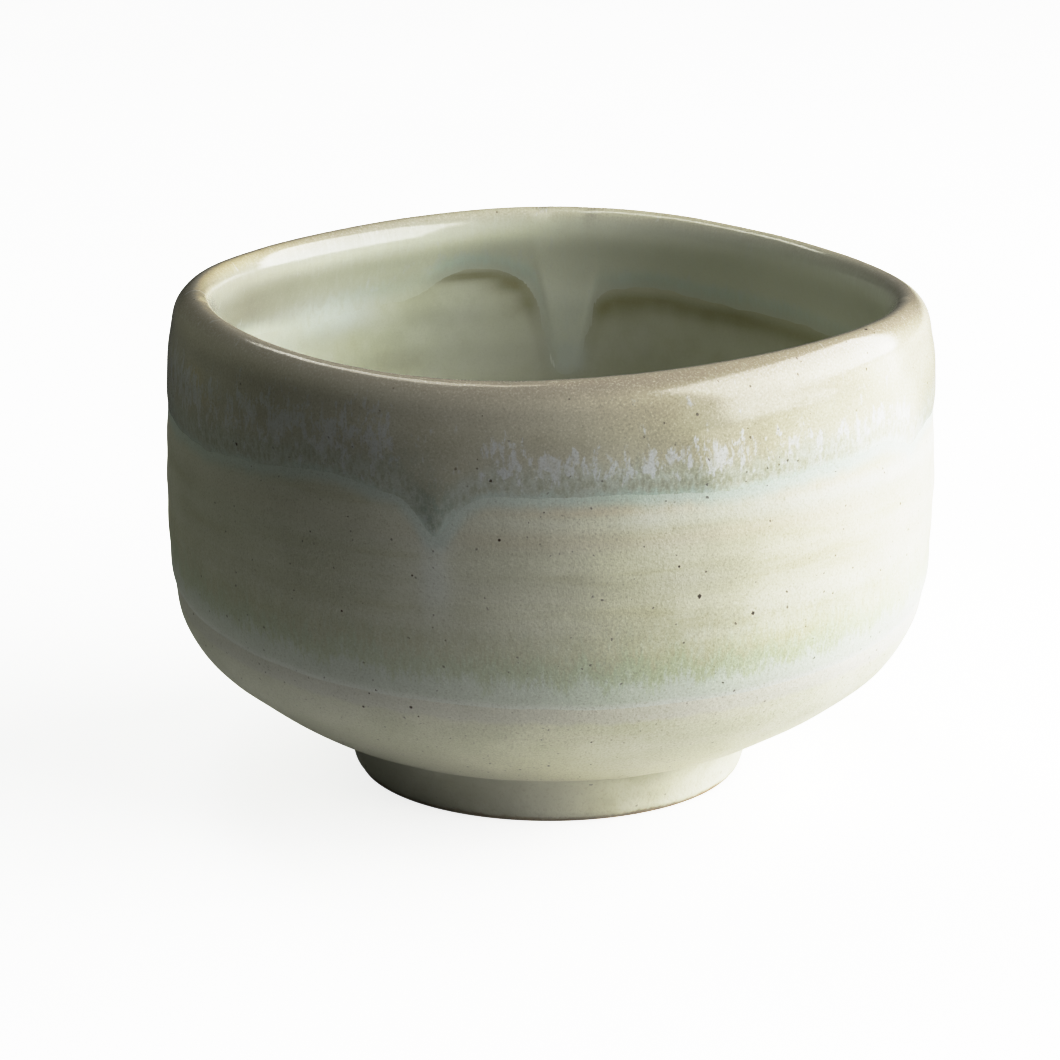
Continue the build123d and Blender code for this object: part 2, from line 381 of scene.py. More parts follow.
# Glassy olive glaze under the arches of the run line of the inside, and faint patches lower down.
OLIVE_INSIDE = (
    (104, 66.1, 6.5, 0.9, 1.0), (97, 64.3, 3.0, 1.5, 1.0), (94.0, 61.0, 1.8, 2.4, 0.6),
    (79, 60.0, 3.6, 2.0, 0.8), (72, 61.4, 7, 1.8, 0.9), (58, 60.6, 9, 1.8, 0.75),
    (40, 59.8, 12, 1.7, 0.6),
    (101, 57.0, 9, 7.0, 0.30), (60, 54.0, 22, 8.0, 0.5), (15, 60.0, 12, 1.0, 0.9), (320, 61.5, 18, 1.0, 0.9),
    (290, 64.0, 14, 1.0, 0.9), (235, 61.5, 16, 1.0, 0.9), (165, 60.0, 14, 1.0, 0.8),
)

# Larger iron specks of the outside: angle, height, radius in mm.
IRON_SPECKS = (
    (249.7, 26.9, 0.26), (250.6, 25.4, 0.16), (241.8, 25.8, 0.21), (243.3, 28.3, 0.14), (240.0, 40.8, 0.19),
    (236.5, 44.6, 0.15), (263.2, 53.7, 0.22), (269.3, 57.8, 0.16), (288.3, 48.9, 0.16), (276.5, 21.8, 0.16),
    (251.0, 47.7, 0.17), (241.4, 55.3, 0.14), (235.0, 52.0, 0.15), (260.8, 71.6, 0.17), (223.5, 27.5, 0.14),
    (20.0, 50.0, 0.19), (75.0, 33.0, 0.21), (130.0, 46.0, 0.17), (158.0, 61.0, 0.16), (105.0, 24.0, 0.22),
)

# Edges of the rim coat, outside and inside, and of the belly coat: distance along the section at
# each column.
RUN_OUT = outside_at(run_height(*RIM_RUN_OUTSIDE), ANGLES)
RUN_IN = inside_at(run_height(*RIM_RUN_INSIDE), ANGLES)
DIP = outside_at(dip_height(), ANGLES)


def surface_marks(along):
    """Values that the glaze materials read at every point of a coat: the distances above the run line
    of the rim coat, above the edge of the belly coat and from the crest of the lip, the height,
    whether the point is on the inside, and the painted patches."""
    outside = along <= LIP
    above_outside, above_inside = square_gap(along - RUN_OUT, RUN_OUT), square_gap(RUN_IN - along, RUN_IN)
    above_run = np.where(outside, above_outside, above_inside)
    level = wall_points(along, LINER_COAT, ANGLES)[..., 2]
    return {
        "above_run": above_run,
        "above_dip": along - DIP,
        "flow": np.abs(along - LIP),
        "level": level,
        "inner": smooth(along, LIP - 0.5, LIP + 2.5),
        "pale": np.where(outside, painted(PALE_OUTSIDE, above_run), painted(PALE_INSIDE, level)),
        # white: whitish bands outside; inside, milky hazes and a painted-light patch on the back wall
        "white": np.where(outside, painted(WHITE_OUTSIDE, level), painted(MILK_AND_PAINTED_LIGHT_INSIDE, level)),
        # warm: warm flushes outside; inside, painted shade on the left wall
        "warm": np.where(outside, painted(WARM_OUTSIDE, level), painted(PAINTED_SHADE_INSIDE, level)),
        "olive": np.where(outside, painted(OLIVE_OUTSIDE, level), painted(OLIVE_INSIDE, level)),
    }


# ---- pieces --------------------------------------------------------------------------------------
EDGE_STEPS = np.array([0, 0.1, 0.2, 0.35, 0.5, 0.7, 0.95, 1.25, 1.6, 2.0, 2.5])[:, None]
EDGE_POWER = 1.4          # above 1, so that the edge of a coat starts flat
SINK = 0.05               # the underside of a coat lies this far inside what it covers
EDGE_SINK = 0.015         # a coat with a free edge lies this much lower, so the edge starts inside
CLAY_SINK = 0.02          # the clay lies this far inside its nominal surface
BEAD_CENTRE = 1.9         # mm from the edge of a coat to the middle of its bead
BEAD_WIDTH = 1.3
FINE_LINER = 60.0         # the liner has fine rows as far as this below the crest of the lip
FINE_ROW = 0.7
HIDDEN_ROWS = np.linspace(0, 1, 16)[:, None]


def roll(gap, thickness, softness, bead=0.0):
    """Thickness of a coat near its edge: it rises gently from nothing, maybe with a slight bead."""
    crest = bead * np.exp(-((gap - BEAD_CENTRE) / BEAD_WIDTH) ** 2) * smooth(gap, 0, 1.2)
    return thickness * (1 - np.exp(-(np.maximum(gap, 0) / softness) ** EDGE_POWER) + crest) - EDGE_SINK


def rows_between(start, stop, step):
    """Rows of distances from start to stop, one value per column, stepping finely at both ends."""
    low, high = start + EDGE_STEPS, stop - EDGE_STEPS[::-1]
    middle = np.linspace(0, 1, max(3, int(np.max(high[0] - low[-1]) / step)))[1:-1, None]
    return np.concatenate([low, low[-1] + (high[0] - low[-1]) * middle, high])


def coat(name, start, stop, under, thickness, edges, step):
    """Closed coat on the wall, from start to stop along the section, over coats that are under mm
    thick. edges has the softness, and the bead if any, of both edges, or None for a hidden one."""
    start, stop = start + 0 * ANGLES, stop + 0 * ANGLES
    along = rows_between(start, stop, step)
    near_start = along < (start + stop) / 2
    skin = thickness + 0 * along
    if edges[0]:
        skin = np.where(near_start, roll(square_gap(along - start, start), thickness, *edges[0]), skin)
    if edges[1]:
        skin = np.where(near_start, skin, roll(square_gap(stop - along, stop), thickness, *edges[1]))
    back = stop + (start - stop) * HIDDEN_ROWS
    rows = np.concatenate([along, back])
    skins = np.concatenate([under + skin, under - SINK + 0 * back])
    points = wall_points(rows, skins + relief(ANGLES, rows), ANGLES)
    return ring_mesh(name, points, surface_marks(rows), True)


def lined_inside(name):
    """The liner: its surface from the middle of the floor up to the lip, then back underneath."""
    floor = np.linspace(LENGTH, LIP + FINE_LINER, 50)
    wall = np.linspace(LIP + FINE_LINER - FINE_ROW, LIP, 86)
    along = np.concatenate([floor, wall])[:, None] + 0 * ANGLES
    back = np.linspace(LIP, LENGTH, 24)[:, None] + 0 * ANGLES
    rows = np.concatenate([along, back])
    skins = np.concatenate([LINER_COAT + 0 * along, -SINK + 0 * back])
    points = wall_points(rows, skins + relief(ANGLES, rows), ANGLES)
    return ring_mesh(name, points, surface_marks(rows), False)


def thrown_wall(name):
    """The clay wall: the turned recess floor, then up the outside, over the lip and down inside."""
    turn = np.radians(ANGLES)
    radius = np.linspace(0.6, FOOT_TOP_R, 80)[:, None]
    cut = 0.035 * np.sin(radius * 2.6 + turn) + 0.03 * lattice_noise(ANGLES, radius, 40, 2.0, seed=41)
    floor = np.stack([radius * np.cos(turn), radius * np.sin(turn), FOOT_Z + SINK + cut], -1)
    along = np.linspace(0, LENGTH, 90)[:, None] + 0 * ANGLES
    wall = wall_points(along, relief(ANGLES, along) - CLAY_SINK, ANGLES)
    points = np.concatenate([floor, wall])
    return ring_mesh(name, points, {"level": points[..., 2]}, False)


def turned_foot(name):
    """The foot ring, with softened edges and faint turning marks."""
    corners = np.array([
        (FOOT_TOP_R, FOOT_Z), (FOOT_BOTTOM_R, 0), (FOOT_INNER_R, 0), (FOOT_INNER_TOP_R, FOOT_Z),
    ])
    outline = rounded(corners, FOOT_EDGE)
    radius, height = outline[:, :1], outline[:, 1:]
    turn = np.radians(ANGLES)
    marks = 0.04 * np.sin(height * 4.1 + turn) + 0.05 * lattice_noise(ANGLES, height, 50, 1.5, seed=43)
    side = np.where(radius > (FOOT_BOTTOM_R + FOOT_INNER_R) / 2, -1, 1)
    radius = radius + marks * side * smooth(height, 0.3, 1.5)
    points = np.stack([radius * np.cos(turn), radius * np.sin(turn), height + 0 * turn], -1)
    return ring_mesh(name, points, {"level": points[..., 2]}, True)


def foot_skin(name):
    """The coat on the outside of the foot, only a skin of glaze, wiped off near the ground."""
    turn = np.radians(ANGLES)
    edge = FOOT_COAT_START + 0.16 * round_noise(34, seed=51) + 0.10 * round_noise(120, seed=52)
    top = FOOT_Z + FOOT_COAT_OVERLAP + 0 * ANGLES
    height = rows_between(edge, top, 0.35)
    skin = roll(height - edge, BASE_COAT, 0.5) + FOOT_FLARE * np.exp((height - top) / FOOT_FLARE_HEIGHT)
    skin = np.concatenate([skin, -SINK + 0 * edge + 0 * HIDDEN_ROWS])
    height = np.concatenate([height, top + (edge - top) * HIDDEN_ROWS])
    radius = np.interp(height, [0, FOOT_Z], [FOOT_BOTTOM_R, FOOT_TOP_R]) + skin
    radius += 0.05 * lattice_noise(ANGLES, height, 50, 2.5, seed=53) + 0.03 * np.sin(height * 2.3 + turn)
    points = np.stack([radius * np.cos(turn), radius * np.sin(turn), height], -1)
    return ring_mesh(name, points, {"level": height, "above_edge": height - edge}, True)


# ---- materials -----------------------------------------------------------------------------------
class Shade:
    """A principled material whose nodes are written as nested calls. Lengths in it are millimetres."""

    def __init__(self, name, specular=0.5):
        self.material = bpy.data.materials.new(name)
        self.material.use_nodes = True
        self.tree = self.material.node_tree
        self.shader = self.tree.nodes["Principled BSDF"]
        self.shader.inputs["Specular IOR Level"].default_value = specular
        self.point = self.vector("SCALE", self.node("TexCoord").outputs["Object"], scale=1 / MM)

    def node(self, kind, *values, **settings):
        """New node; each value is a socket's name or number with a constant or another socket."""
        node = self.tree.nodes.new("ShaderNode" + kind)
        for setting, value in settings.items():
            setattr(node, setting, value)
        for socket, value in values:
            if isinstance(value, bpy.types.NodeSocket):
                self.tree.links.new(value, node.inputs[socket])
            else:
                node.inputs[socket].default_value = value
        return node

    def math(self, operation, a, b=0.0, c=0.0):
        """Result of a maths node; every argument is a number or a socket."""
        return self.node("Math", (0, a), (1, b), (2, c), operation=operation).outputs[0]

    def plus(self, a, b):
        return self.math("ADD", a, b)

    def times(self, a, b):
        return self.math("MULTIPLY", a, b)

    def swing(self, noise, size):
        """Turns a noise value into a shift of up to size / 2 either way."""
        return self.times(self.math("SUBTRACT", noise, 0.5), size)

    def vector(self, operation, a, b=(0, 0, 0), scale=1.0):
        """Result of a vector maths node: a number for some operations, otherwise a vector."""
        values = [(0, a), ("Scale", scale)] if operation == "SCALE" else [(0, a), (1, b)]
        node = self.node("VectorMath", *values, operation=operation)
        return node.outputs["Value" if operation in ("DISTANCE", "LENGTH", "DOT_PRODUCT") else "Vector"]

    def mark(self, name):
        """Value that the mesh carries at each point."""
        return self.node("Attribute", attribute_name=name).outputs["Fac"]

    def step(self, value, low, high, start=0.0, stop=1.0):
        """Smooth step from start to stop as value goes from low to high."""
        given = ("Value", value), ("From Min", low), ("From Max", high)
        wanted = ("To Min", start), ("To Max", stop)
        return self.node("MapRange", *given, *wanted, interpolation_type="SMOOTHSTEP").outputs["Result"]

    def mix(self, amount, a, b):
        """Colour between a and b, each a socket or red, green, blue and alpha."""
        return self.node("Mix", (0, amount), (6, a), (7, b), data_type="RGBA").outputs[2]

    def tint(self, amount, colour, other):
        """Mixes in another colour, given as red, green and blue."""
        return self.mix(amount, colour, other + (1.0,))

    def noise(self, where, size, detail=3.0, rough=0.55, warp=0.0):
        """Noise whose features are about size mm."""
        place = ("Vector", where), ("Scale", 1 / size)
        texture = ("Detail", detail), ("Roughness", rough), ("Distortion", warp)
        return self.node("TexNoise", *place, *texture).outputs["Fac"]

    def drifting(self, size, one, other, detail=3):
        """Colour that drifts between two tones in patches of about size mm."""
        patches = self.step(self.noise(self.point, size, detail), 0.35, 0.65)
        return self.mix(patches, one + (1.0,), other + (1.0,))

    def stretched(self, squeeze):
        """Coordinates that follow the section of the bowl, squeezed along it, for runny streaks."""
        flat = self.vector("MULTIPLY", self.point, (1, 1, 0))
        around = self.vector("SCALE", self.vector("NORMALIZE", flat), scale=WALL_R)
        down = self.node("CombineXYZ", ("Z", self.times(self.mark("flow"), squeeze))).outputs[0]
        return self.vector("ADD", around, down)

    def specks(self, cell, radius, share):
        """Small uneven dots scattered through the glaze, in only some of the cells."""
        ragged = self.node("TexNoise", ("Vector", self.point), ("Scale", 2.4), ("Detail", 2.0))
        shift = self.vector("SCALE", ragged.outputs["Color"], scale=radius * 2.5)
        where = self.vector("ADD", self.point, shift)
        cells = self.node("TexVoronoi", ("Vector", where), ("Scale", 1 / cell))
        chance = self.node("SeparateColor", (0, cells.outputs["Color"]))
        chosen = self.step(chance.outputs[0], share, share * 0.9)
        reach = self.math("MULTIPLY_ADD", chance.outputs[1], radius / cell, radius / cell * 0.45)
        near = self.step(self.math("SUBTRACT", cells.outputs["Distance"], reach), 0.0, -0.6 * radius / cell)
        return self.times(chosen, near)

    def finish(self, colour, height, depth, roughness):
        """Connects the colour, a bump whose height is in mm, and the roughness."""
        bump = self.node("Bump", ("Height", height), ("Distance", depth * MM), ("Strength", 1.0))
        self.tree.links.new(bump.outputs["Normal"], self.shader.inputs["Normal"])
        self.tree.links.new(colour, self.shader.inputs["Base Color"])
        self.tree.links.new(roughness, self.shader.inputs["Roughness"])
        return self.material


IRON = (0.055, 0.030, 0.015)
MILK = (0.60, 0.635, 0.615)


def speck_points():
    """Places of the larger iron specks on the outside, in mm, with their radii."""
    for angle, height, radius in IRON_SPECKS:
        along = outside_at(np.array([height]), np.array([angle]))
        column = round(angle * COLUMNS / 360) % COLUMNS
        skin = BASE_COAT + BELLY_COAT * (along > DIP[column]) + RIM_COAT * (along > RUN_OUT[column])
        yield wall_points(along, skin, np.array([angle]))[0].tolist(), radius


def with_iron(shade, colour, large=True, grainy=0.38, spotty=1.0):
    """Sandy grain over a glaze colour; with large, also scattered specks and the larger ones at their
    places. grainy and spotty say how strong the grain and the scattered specks are."""
    grain = shade.noise(shade.point, 0.32, 3, 0.7)
    dark = shade.times(shade.step(grain, 0.50, 0.26), grainy)
    colour = shade.tint(dark, colour, (0.30, 0.275, 0.20))
    light = shade.times(shade.step(grain, 0.50, 0.74), shade.times(grainy, 0.7))
    colour = shade.tint(light, colour, (0.86, 0.85, 0.80))
    if large:
        fine, coarse = shade.specks(1.5, 0.19, 0.45), shade.specks(4.2, 0.25, 0.28)
        dots = shade.math("MINIMUM", shade.plus(shade.times(fine, 0.55), coarse), 0.88)
        colour = shade.tint(shade.times(dots, spotty), colour, IRON)
        for place, radius in speck_points():
            away = shade.vector("DISTANCE", shade.point, place)
            colour = shade.tint(shade.step(away, radius * 1.2, radius * 0.7, 0, 0.95), colour, IRON)
    return colour


def rim_glaze():
    """Runny rim coat: worn brown lip, warm tan, bluish white frosting, sage green, then a mint edge.
    Its inside is greyer, with pale pools. Towards the back right the inside is painted paler, as painted
    light, and its left wall darker, as painted shade."""
    shade = Shade("rim_glaze", specular=0.38)
    runs = shade.stretched(0.45)
    soft = shade.noise(shade.stretched(0.25), 3.0, 3)
    fine = shade.noise(shade.stretched(0.35), 0.9, 4, warp=0.4)
    blotch = shade.noise(shade.stretched(0.60), 1.9, 5, 0.70, 0.5)
    grain = shade.noise(shade.point, 0.42, 3, 0.7)
    above, inner, pale = shade.mark("above_run"), shade.mark("inner"), shade.mark("pale")
    outer = shade.math("SUBTRACT", 1.0, inner)
    wobble = shade.plus(above, shade.swing(fine, 2.0))
    colour = shade.drifting(14, (0.48, 0.46, 0.36), (0.545, 0.53, 0.43))
    place = shade.node("SeparateXYZ", (0, shade.point)).outputs
    # Painted light: how far the point is towards the back right of the bowl, where the inside is painted
    # paler, and a factor that goes down there, so that the warm tint and the worn lip tone fade there too.
    painted_light_back_right = shade.times(shade.step(place["Y"], 0, 42), shade.step(place["X"], -38, -8))
    less_where_painted_light = shade.math("MULTIPLY_ADD", painted_light_back_right, -0.6, 1.0)
    warmth = shade.times(shade.step(shade.mark("flow"), 9, 3, 0, 0.55), less_where_painted_light)
    colour = shade.tint(warmth, colour, (0.58, 0.545, 0.45))
    # The lining is painted paler towards the back right: painted light.
    lining_painted_lighter_at_back = shade.mix(painted_light_back_right, (0.57, 0.585, 0.515, 1), (0.685, 0.70, 0.615, 1))
    colour = shade.mix(shade.times(inner, 0.85), colour, lining_painted_lighter_at_back)
    lip_tone = shade.mix(inner, (0.335, 0.305, 0.25, 1), (0.40, 0.405, 0.36, 1))
    worn = shade.times(shade.step(shade.mark("flow"), 4.0, 0.8, 0, 0.85), less_where_painted_light)
    colour = shade.mix(worn, colour, lip_tone)
    streaks = shade.times(shade.step(fine, 0.42, 0.68), shade.times(inner, 0.20))
    colour = shade.tint(streaks, colour, (0.66, 0.685, 0.64))
    # Painted shade: the left wall of the inside, which faces the window light, is made darker and duller.
    painted_shade = shade.times(shade.mark("warm"), inner)
    colour = shade.tint(shade.times(painted_shade, 0.85), colour, (0.355, 0.345, 0.30))
    warm = shade.times(shade.mark("warm"), outer)
    colour = shade.tint(shade.times(warm, 0.5), colour, (0.66, 0.56, 0.30))
    strip = shade.step(shade.plus(wobble, shade.swing(soft, 4.0)), 6.5, 2.5, 0, 0.72)
    colour = shade.tint(shade.times(strip, outer), colour, (0.45, 0.475, 0.40))
    cells = shade.node("TexVoronoi", ("Vector", runs), ("Scale", 1.5)).outputs["Distance"]
    bubbly = shade.times(shade.step(wobble, 6.0, 2.5), outer)
    mottle = shade.times(shade.step(cells, 0.30, 0.75), bubbly)
    colour = shade.tint(shade.times(mottle, 0.55), colour, (0.58, 0.615, 0.575))
    pits = shade.times(shade.step(cells, 0.30, 0.10), bubbly)
    colour = shade.tint(shade.times(pits, 0.35), colour, (0.33, 0.33, 0.24))
    fingers = shade.noise(shade.stretched(0.28), 0.8, 4, 0.65, 0.6)
    patchy = shade.plus(shade.swing(blotch, 1.2), shade.swing(fingers, 0.7))
    frost = shade.step(shade.math("MULTIPLY_ADD", pale, 0.28, patchy), 0.17, 0.31, 0, 0.76)
    frost = shade.times(frost, shade.step(fine, 0.30, 0.55, 0.55, 1.0))
    frost = shade.times(frost, shade.math("MULTIPLY_ADD", inner, -0.55, 1.0))
    colour = shade.tint(frost, colour, (0.63, 0.65, 0.665))
    colour = shade.tint(shade.times(pale, shade.times(outer, 0.07)), colour, (0.60, 0.62, 0.63))
    olive = shade.times(shade.mark("olive"), shade.step(cells, 0.2, 0.7, 0.80, 0.45))
    colour = shade.tint(olive, colour, (0.34, 0.405, 0.365))
    faint = shade.step(shade.noise(shade.point, 6, 2), 0.35, 0.60, 0.25, 0.75)
    mint = shade.times(shade.step(wobble, 1.9, 0.3), faint)
    colour = shade.tint(shade.times(mint, outer), colour, (0.565, 0.645, 0.60))
    pool = shade.step(shade.plus(above, shade.swing(soft, 2.5)), 6.0, 0.8, 0, 0.80)
    colour = shade.tint(shade.times(shade.times(pool, pale), inner), colour, (0.52, 0.62, 0.585))
    joined = shade.times(shade.step(wobble, 3.5, 0.5), shade.times(inner, 0.75))
    colour = shade.tint(joined, colour, (0.54, 0.55, 0.47))
    # Milky hazes, with a paler patch on the back wall that is painted light.
    milk_and_painted_light = shade.times(shade.mark("white"), shade.times(inner, 0.75))
    milk_and_painted_light = shade.times(milk_and_painted_light, shade.step(blotch, 0.35, 0.55, 0.55, 1.0))
    colour = shade.tint(milk_and_painted_light, colour, MILK)
    colour = with_iron(shade, colour, grainy=shade.math("MULTIPLY_ADD", outer, 0.36, 0.08), spotty=outer)
    height = shade.plus(shade.times(grain, 0.9), shade.times(blotch, 0.8))
    rough = shade.step(shade.noise(shade.point, 2.5, 4), 0.3, 0.7, 0.04, 0.09)
    return shade.finish(colour, height, 0.018, rough)


def belly_glaze():
    """Satin coat of the wall: greenish cream with bands, flushed and streaked where it thickened."""
    shade = Shade("belly_glaze", specular=0.24)
    soft = shade.noise(shade.stretched(0.25), 4.0, 3)
    fine = shade.noise(shade.stretched(0.30), 1.1, 4, warp=0.4)
    grain = shade.noise(shade.point, 0.5, 3, 0.7)
    bands = shade.noise(shade.vector("MULTIPLY", shade.point, (0.10, 0.10, 1.0)), 2.6, 3)
    above, dip = shade.mark("above_run"), shade.mark("above_dip")
    colour = shade.drifting(17, (0.57, 0.568, 0.462), (0.63, 0.628, 0.525))
    colour = shade.tint(shade.step(bands, 0.42, 0.70, 0, 0.40), colour, (0.67, 0.665, 0.59))
    colour = shade.tint(shade.step(bands, 0.45, 0.28, 0, 0.40), colour, (0.525, 0.51, 0.375))
    colour = shade.tint(shade.times(shade.mark("warm"), 0.65), colour, (0.64, 0.58, 0.475))
    white = shade.times(shade.mark("white"), shade.step(soft, 0.25, 0.60, 0.45, 1.0))
    colour = shade.tint(shade.times(white, 0.65), colour, (0.70, 0.72, 0.69))
    olive = shade.times(shade.mark("olive"), shade.step(fine, 0.3, 0.6, 0.35, 1.0))
    colour = shade.tint(shade.times(olive, 0.50), colour, (0.49, 0.50, 0.375))
    threads = shade.noise(shade.stretched(0.30), 0.55, 4, 0.65, 0.3)
    wave = shade.plus(shade.plus(dip, shade.swing(threads, -8.0)), shade.swing(soft, -8.0))
    zone = shade.times(shade.step(dip, 17.0, 9.0), shade.step(dip, 2.0, 4.0))
    colour = shade.tint(shade.step(wave, 13.0, 6.0, 0, 0.65), colour, (0.49, 0.505, 0.385))
    strands = shade.times(zone, shade.step(threads, 0.48, 0.66, 0, 0.32))
    colour = shade.tint(strands, colour, (0.66, 0.68, 0.62))
    gaps = shade.times(zone, shade.step(threads, 0.50, 0.34, 0, 0.30))
    colour = shade.tint(gaps, colour, (0.44, 0.43, 0.30))
    green = shade.times(shade.step(wave, 9.0, 6.0), shade.step(wave, 2.0, 5.0, 0, 0.38))
    colour = shade.tint(green, colour, (0.50, 0.575, 0.455))
    colour = shade.tint(shade.step(wave, 6.0, 3.0, 0, 0.62), colour, (0.61, 0.65, 0.625))
    colour = shade.tint(shade.step(dip, 1.5, 0.3, 0, 0.50), colour, (0.715, 0.715, 0.69))
    under = shade.plus(above, shade.swing(soft, 1.5))
    halo = shade.step(under, -2.4, -0.1, 0, 0.80)
    colour = shade.tint(halo, colour, (0.57, 0.635, 0.595))
    colour = with_iron(shade, colour)
    height = shade.plus(shade.times(grain, 0.8), shade.times(soft, 0.8))
    rough = shade.step(shade.noise(shade.point, 2.2, 4), 0.3, 0.7, 0.38, 0.50)
    return shade.finish(colour, height, 0.05, rough)


def base_glaze():
    """Thin matt coat under the belly: grey beige with fine specks, creamier towards the foot."""
    shade = Shade("base_glaze")
    soft = shade.noise(shade.stretched(0.3), 4.0, 3)
    grain = shade.noise(shade.point, 0.6, 4, 0.7)
    bands = shade.noise(shade.vector("MULTIPLY", shade.point, (0.12, 0.12, 1.0)), 2.2, 3)
    level = shade.mark("level")
    colour = shade.drifting(15, (0.61, 0.61, 0.505), (0.67, 0.665, 0.57))
    colour = shade.tint(shade.step(level, 21, 11, 0, 0.75), colour, (0.675, 0.665, 0.55))
    colour = shade.tint(shade.step(bands, 0.45, 0.70, 0, 0.35), colour, (0.665, 0.65, 0.575))
    colour = shade.tint(shade.step(grain, 0.47, 0.25, 0, 0.35), colour, (0.42, 0.385, 0.28))
    below = shade.plus(shade.mark("above_dip"), shade.swing(soft, 2.0))
    colour = shade.tint(shade.step(below, -3.2, -2.0, 0, 0.50), colour, (0.60, 0.59, 0.565))
    colour = shade.tint(shade.times(shade.specks(1.1, 0.15, 0.5), 0.40), colour, IRON)
    colour = with_iron(shade, colour)
    height = shade.plus(grain, shade.times(bands, 0.6))
    rough = shade.step(grain, 0.3, 0.7, 0.46, 0.60)
    return shade.finish(colour, height, 0.06, rough)


def foot_glaze():
    """Thin chalky coat on the foot, rubbed to the clay here and there near its lower edge."""
    shade = Shade("foot_glaze")
    grain = shade.noise(shade.point, 0.6, 4, 0.7)
    above = shade.mark("above_edge")
    colour = shade.drifting(9, (0.57, 0.565, 0.475), (0.635, 0.63, 0.545))
    colour = shade.tint(shade.step(grain, 0.5, 0.28, 0, 0.35), colour, (0.46, 0.43, 0.33))
    ragged = shade.plus(above, shade.swing(grain, 1.2))
    colour = shade.tint(shade.step(ragged, 0.6, 0.1, 0, 0.65), colour, (0.40, 0.345, 0.255))
    dots = shade.specks(2.2, 0.26, 0.3)
    colour = shade.tint(shade.times(dots, 0.45), colour, IRON)
    rough = shade.step(grain, 0.3, 0.7, 0.66, 0.82)
    return shade.finish(colour, grain, 0.09, rough)


def liner_glaze():
    """Glossy inside: grey green, dark and glassy under the run line, milky where it pooled; painted darker
    on the left wall as painted shade, and paler on the back wall as painted light.
    """
    shade = Shade("liner_glaze", specular=0.4)
    soft = shade.noise(shade.stretched(0.3), 4.5, 3)
    cloud = shade.noise(shade.point, 7, 4)
    above = shade.mark("above_run")
    colour = shade.drifting(19, (0.515, 0.52, 0.42), (0.58, 0.585, 0.485))
    colour = shade.tint(shade.step(shade.mark("level"), 26, 14, 0, 0.60), colour, (0.38, 0.42, 0.29))
    colour = shade.tint(shade.step(cloud, 0.45, 0.70, 0, 0.45), colour, (0.60, 0.60, 0.535))
    colour = shade.tint(shade.step(cloud, 0.45, 0.25, 0, 0.35), colour, (0.45, 0.44, 0.31))
    edge = shade.step(shade.plus(above, shade.swing(soft, 1.5)), -6.5, -0.4)
    olive = shade.times(shade.times(shade.mark("olive"), edge), 0.85)
    colour = shade.tint(olive, colour, (0.27, 0.25, 0.105))
    # Painted shade: darker, duller glaze on the left wall of the inside, which faces the window light.
    colour = shade.tint(shade.times(shade.mark("warm"), 0.7), colour, (0.41, 0.405, 0.35))
    # Milky hazes, with a paler patch on the back wall that is painted light.
    milk_and_painted_light = shade.times(shade.mark("white"), shade.step(cloud, 0.25, 0.60, 0.55, 0.85))
    colour = shade.tint(milk_and_painted_light, colour, MILK)
    colour = with_iron(shade, colour, large=False, grainy=0.10)
    rough = shade.step(shade.noise(shade.point, 4.0, 4), 0.3, 0.7, 0.12, 0.20)
    return shade.finish(colour, soft, 0.05, rough)


def stoneware():
    """Bare fired clay: buff brown in two tones, gritty, with lighter and darker grains."""
    shade = Shade("stoneware")
    grain = shade.noise(shade.point, 0.5, 4, 0.75)
    colour = shade.drifting(11, (0.36, 0.30, 0.215), (0.47, 0.41, 0.315), 4)
    colour = shade.tint(shade.step(grain, 0.5, 0.75, 0, 0.5), colour, (0.55, 0.45, 0.32))
    colour = shade.tint(shade.step(grain, 0.45, 0.25, 0, 0.5), colour, (0.20, 0.13, 0.075))
    colour = with_iron(shade, colour, large=False)
    rough = shade.step(grain, 0.3, 0.7, 0.78, 0.92)
    return shade.finish(colour, grain, 0.16, rough)


# ---- the bowl ------------------------------------------------------------------------------------
# The base and belly coats end just past the crest of the lip, under the rim coat.
clay = stoneware()
finish_piece(thrown_wall("thrown_wall"), "clay_body", clay)
finish_piece(turned_foot("turned_foot"), "foot_ring", clay)
finish_piece(foot_skin("foot_skin"), "foot_glaze", foot_glaze())
base_skin = coat("base_skin", 0.0, LIP + 0.4, 0.0, BASE_COAT, edges=(None, None), step=0.8)
finish_piece(base_skin, "outer_glaze", base_glaze())
belly_skin = coat("belly_skin", DIP, LIP + 0.3, BASE_COAT, BELLY_COAT, edges=((1.2,), None), step=0.8)
finish_piece(belly_skin, "belly_glaze", belly_glaze())
rim_edges = ((3.8, 0.05), (5.0,))
rim_skin = coat("rim_skin", RUN_OUT, RUN_IN, LINER_COAT, RIM_COAT, edges=rim_edges, step=0.45)
finish_piece(rim_skin, "rim_glaze", rim_glaze())
finish_piece(lined_inside("lined_inside"), "inner_glaze", liner_glaze())


# ---- stage ---------------------------------------------------------------------------------------
LIGHT_TARGET = Vector((0, 0, 0.04))
FLOOR_HALF = 6.0                     # metres
# Places and directions on the floor, in mm from the middle of the bowl.
BOUNCE_CENTRE = (-4, -8, 0)          # middle of the part of the floor that lights the bowl
WINDOW_SIDE = (0.985, -0.174, 0)
WINDOW_FRONT = (0.500, -0.866, 0)
WINDOW_BACK = (0.743, 0.669, 0)
CAMERA_PLACE = Vector((0, -0.63833, 0.22623))
CAMERA_AIM = Vector((-0.002998, 0, 0.037672))
CAMERA_LENS = 144.02
TONE_POINTS = ((0.10, 0.070), (0.27, 0.235), (0.45, 0.52), (0.62, 0.74), (0.80, 0.860), (1.0, 0.917))
TONE_END = (1.6, 0.985)


